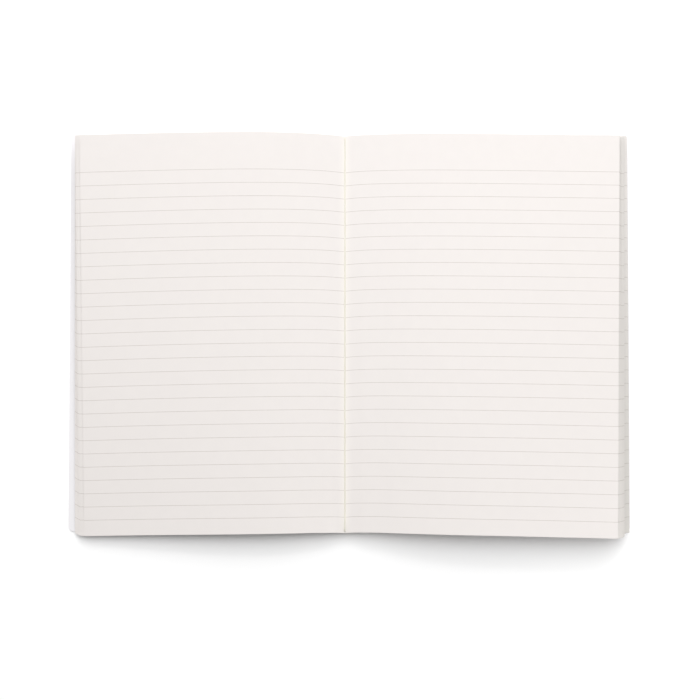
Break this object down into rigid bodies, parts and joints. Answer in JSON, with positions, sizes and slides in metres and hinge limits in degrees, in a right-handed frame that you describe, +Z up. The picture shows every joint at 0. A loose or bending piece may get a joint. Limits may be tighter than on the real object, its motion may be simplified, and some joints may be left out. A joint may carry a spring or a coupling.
{
  "type": "open ruled notebook",
  "caption": "Soft-cover ruled notebook lying open on its cover, its leaves curving up from the gutter and fanned at both fore edges; each cover swings on its spine crease.",
  "frame": {"origin": "middle of the spine strip's underside, on the surface that the open notebook lies on", "axes": "+X towards the back cover's fore edge (the right of the open book), +Y towards the head of the pages, +Z up"},
  "size_m": [0.298, 0.2135, 0.0138],
  "materials": {
    "leaf_paper": "uncoated warm white paper with faint grey-brown ruling",
    "cover_card": "smooth white card",
    "binding_glue": "pale yellow set adhesive"
  },
  "bodies": {
    "book_block": {"pages": "leaf_paper", "spine_glue": "binding_glue", "spine": "cover_card"},
    "front_cover_board": {"front_cover": "cover_card"},
    "back_cover_board": {"back_cover": "cover_card"}
  },
  "joints": [
    {"name": "front_cover_crease", "type": "hinge", "parent": "book_block", "child": "front_cover_board", "pos_m": [-0.004, 0, 0], "axis": [0, -1, 0], "range_deg": [0, 90]},
    {"name": "back_cover_crease", "type": "hinge", "parent": "book_block", "child": "back_cover_board", "pos_m": [0.004, 0, 0], "axis": [0, 1, 0], "range_deg": [0, 90]}
  ]
}
